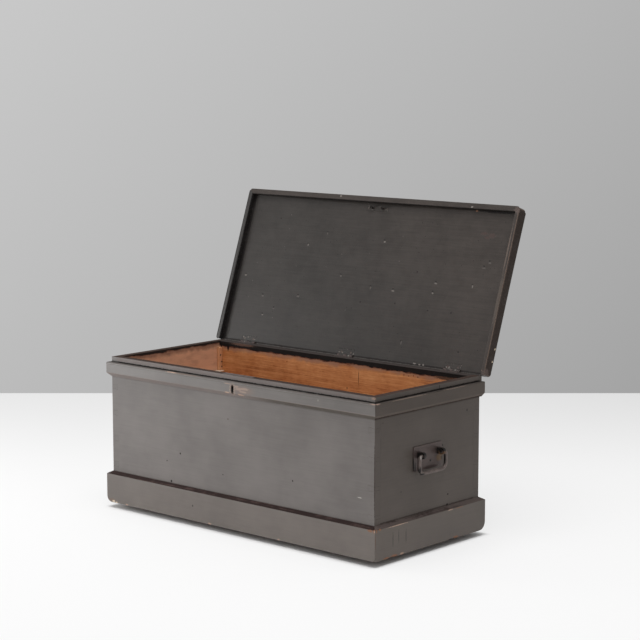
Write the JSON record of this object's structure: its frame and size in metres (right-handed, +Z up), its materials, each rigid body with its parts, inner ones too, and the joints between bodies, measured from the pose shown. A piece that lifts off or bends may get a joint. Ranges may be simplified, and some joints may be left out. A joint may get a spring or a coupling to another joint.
{
  "type": "wooden trunk",
  "caption": "Painted pine trunk with a plinth, a band under its lip, a hinged lid with a rim, an inset lock and a swinging iron handle on each end.",
  "frame": {"origin": "on the floor, under the middle of the chest, in the plane of the runners' undersides", "axes": "+X along the front, to the right as seen from the front; +Y from the front to the back; +Z up"},
  "size_m": [0.946, 0.5783, 0.8071],
  "materials": {
    "painted_pine": "worn satin paint",
    "lid_paint": "worn satin paint",
    "bare_pine": "bare aged pine",
    "old_iron": "dark, partly rusted",
    "worn_steel": "dull, worn"
  },
  "bodies": {
    "carcase": {"front_board": "painted_pine", "back_board": "painted_pine", "left_end_board": "painted_pine", "right_end_board": "painted_pine", "plinth_front": "painted_pine", "plinth_back": "painted_pine", "plinth_left": "painted_pine", "plinth_right": "painted_pine", "band_front": "painted_pine", "band_left": "painted_pine", "band_right": "painted_pine", "hinge_rail": "painted_pine", "bottom_board_front": "bare_pine", "bottom_board_back": "bare_pine", "runner_left": "bare_pine", "runner_middle": "bare_pine", "runner_right": "bare_pine", "tray_runner_left": "bare_pine", "tray_runner_right": "bare_pine", "corner_batten_front_left": "bare_pine", "corner_batten_front_right": "bare_pine", "corner_batten_back_left": "bare_pine", "corner_batten_back_right": "bare_pine", "handle_left_plate": "old_iron", "handle_left_eye_front": "old_iron", "handle_left_eye_back": "old_iron", "handle_right_plate": "old_iron", "handle_right_eye_front": "old_iron", "handle_right_eye_back": "old_iron", "lock_plate": "old_iron", "lock_cap": "old_iron", "hinge_left_body_leaf": "old_iron", "hinge_left_pin": "worn_steel", "hinge_left_body_screw_1": "worn_steel", "hinge_left_body_screw_2": "worn_steel", "hinge_middle_body_leaf": "old_iron", "hinge_middle_pin": "worn_steel", "hinge_middle_body_screw_1": "worn_steel", "hinge_middle_body_screw_2": "worn_steel", "hinge_right_body_leaf": "old_iron", "hinge_right_pin": "worn_steel", "hinge_right_body_screw_1": "worn_steel", "hinge_right_body_screw_2": "worn_steel"},
    "lid": {"lid_panel": "lid_paint", "lid_rim_front": "lid_paint", "lid_rim_left": "lid_paint", "lid_rim_right": "lid_paint", "link_plate": "old_iron", "hinge_left_lid_leaf": "old_iron", "hinge_left_lid_screw_1": "worn_steel", "hinge_left_lid_screw_2": "worn_steel", "hinge_middle_lid_leaf": "old_iron", "hinge_middle_lid_screw_1": "worn_steel", "hinge_middle_lid_screw_2": "worn_steel", "hinge_right_lid_leaf": "old_iron", "hinge_right_lid_screw_1": "worn_steel", "hinge_right_lid_screw_2": "worn_steel"},
    "bail_left": {"handle_left_bail": "old_iron"},
    "bail_right": {"handle_right_bail": "old_iron"},
    "bolt": {"lock_bolt": "worn_steel"}
  },
  "joints": [
    {"name": "lid_hinge", "type": "hinge", "parent": "carcase", "child": "lid", "pos_m": [0, 0.213, 0.39915], "axis": [1, 0, 0], "range_deg": [0, 109]},
    {"name": "bail_left_swing", "type": "hinge", "parent": "carcase", "child": "bail_left", "pos_m": [-0.465, -0.005, 0.24], "axis": [0, 1, 0], "range_deg": [-13, 195]},
    {"name": "bail_right_swing", "type": "hinge", "parent": "carcase", "child": "bail_right", "pos_m": [0.465, -0.005, 0.24], "axis": [0, -1, 0], "range_deg": [-13, 195]},
    {"name": "bolt_slide", "type": "slide", "parent": "carcase", "child": "bolt", "axis": [1, 0, 0], "range_m": [0, 0.008]}
  ]
}
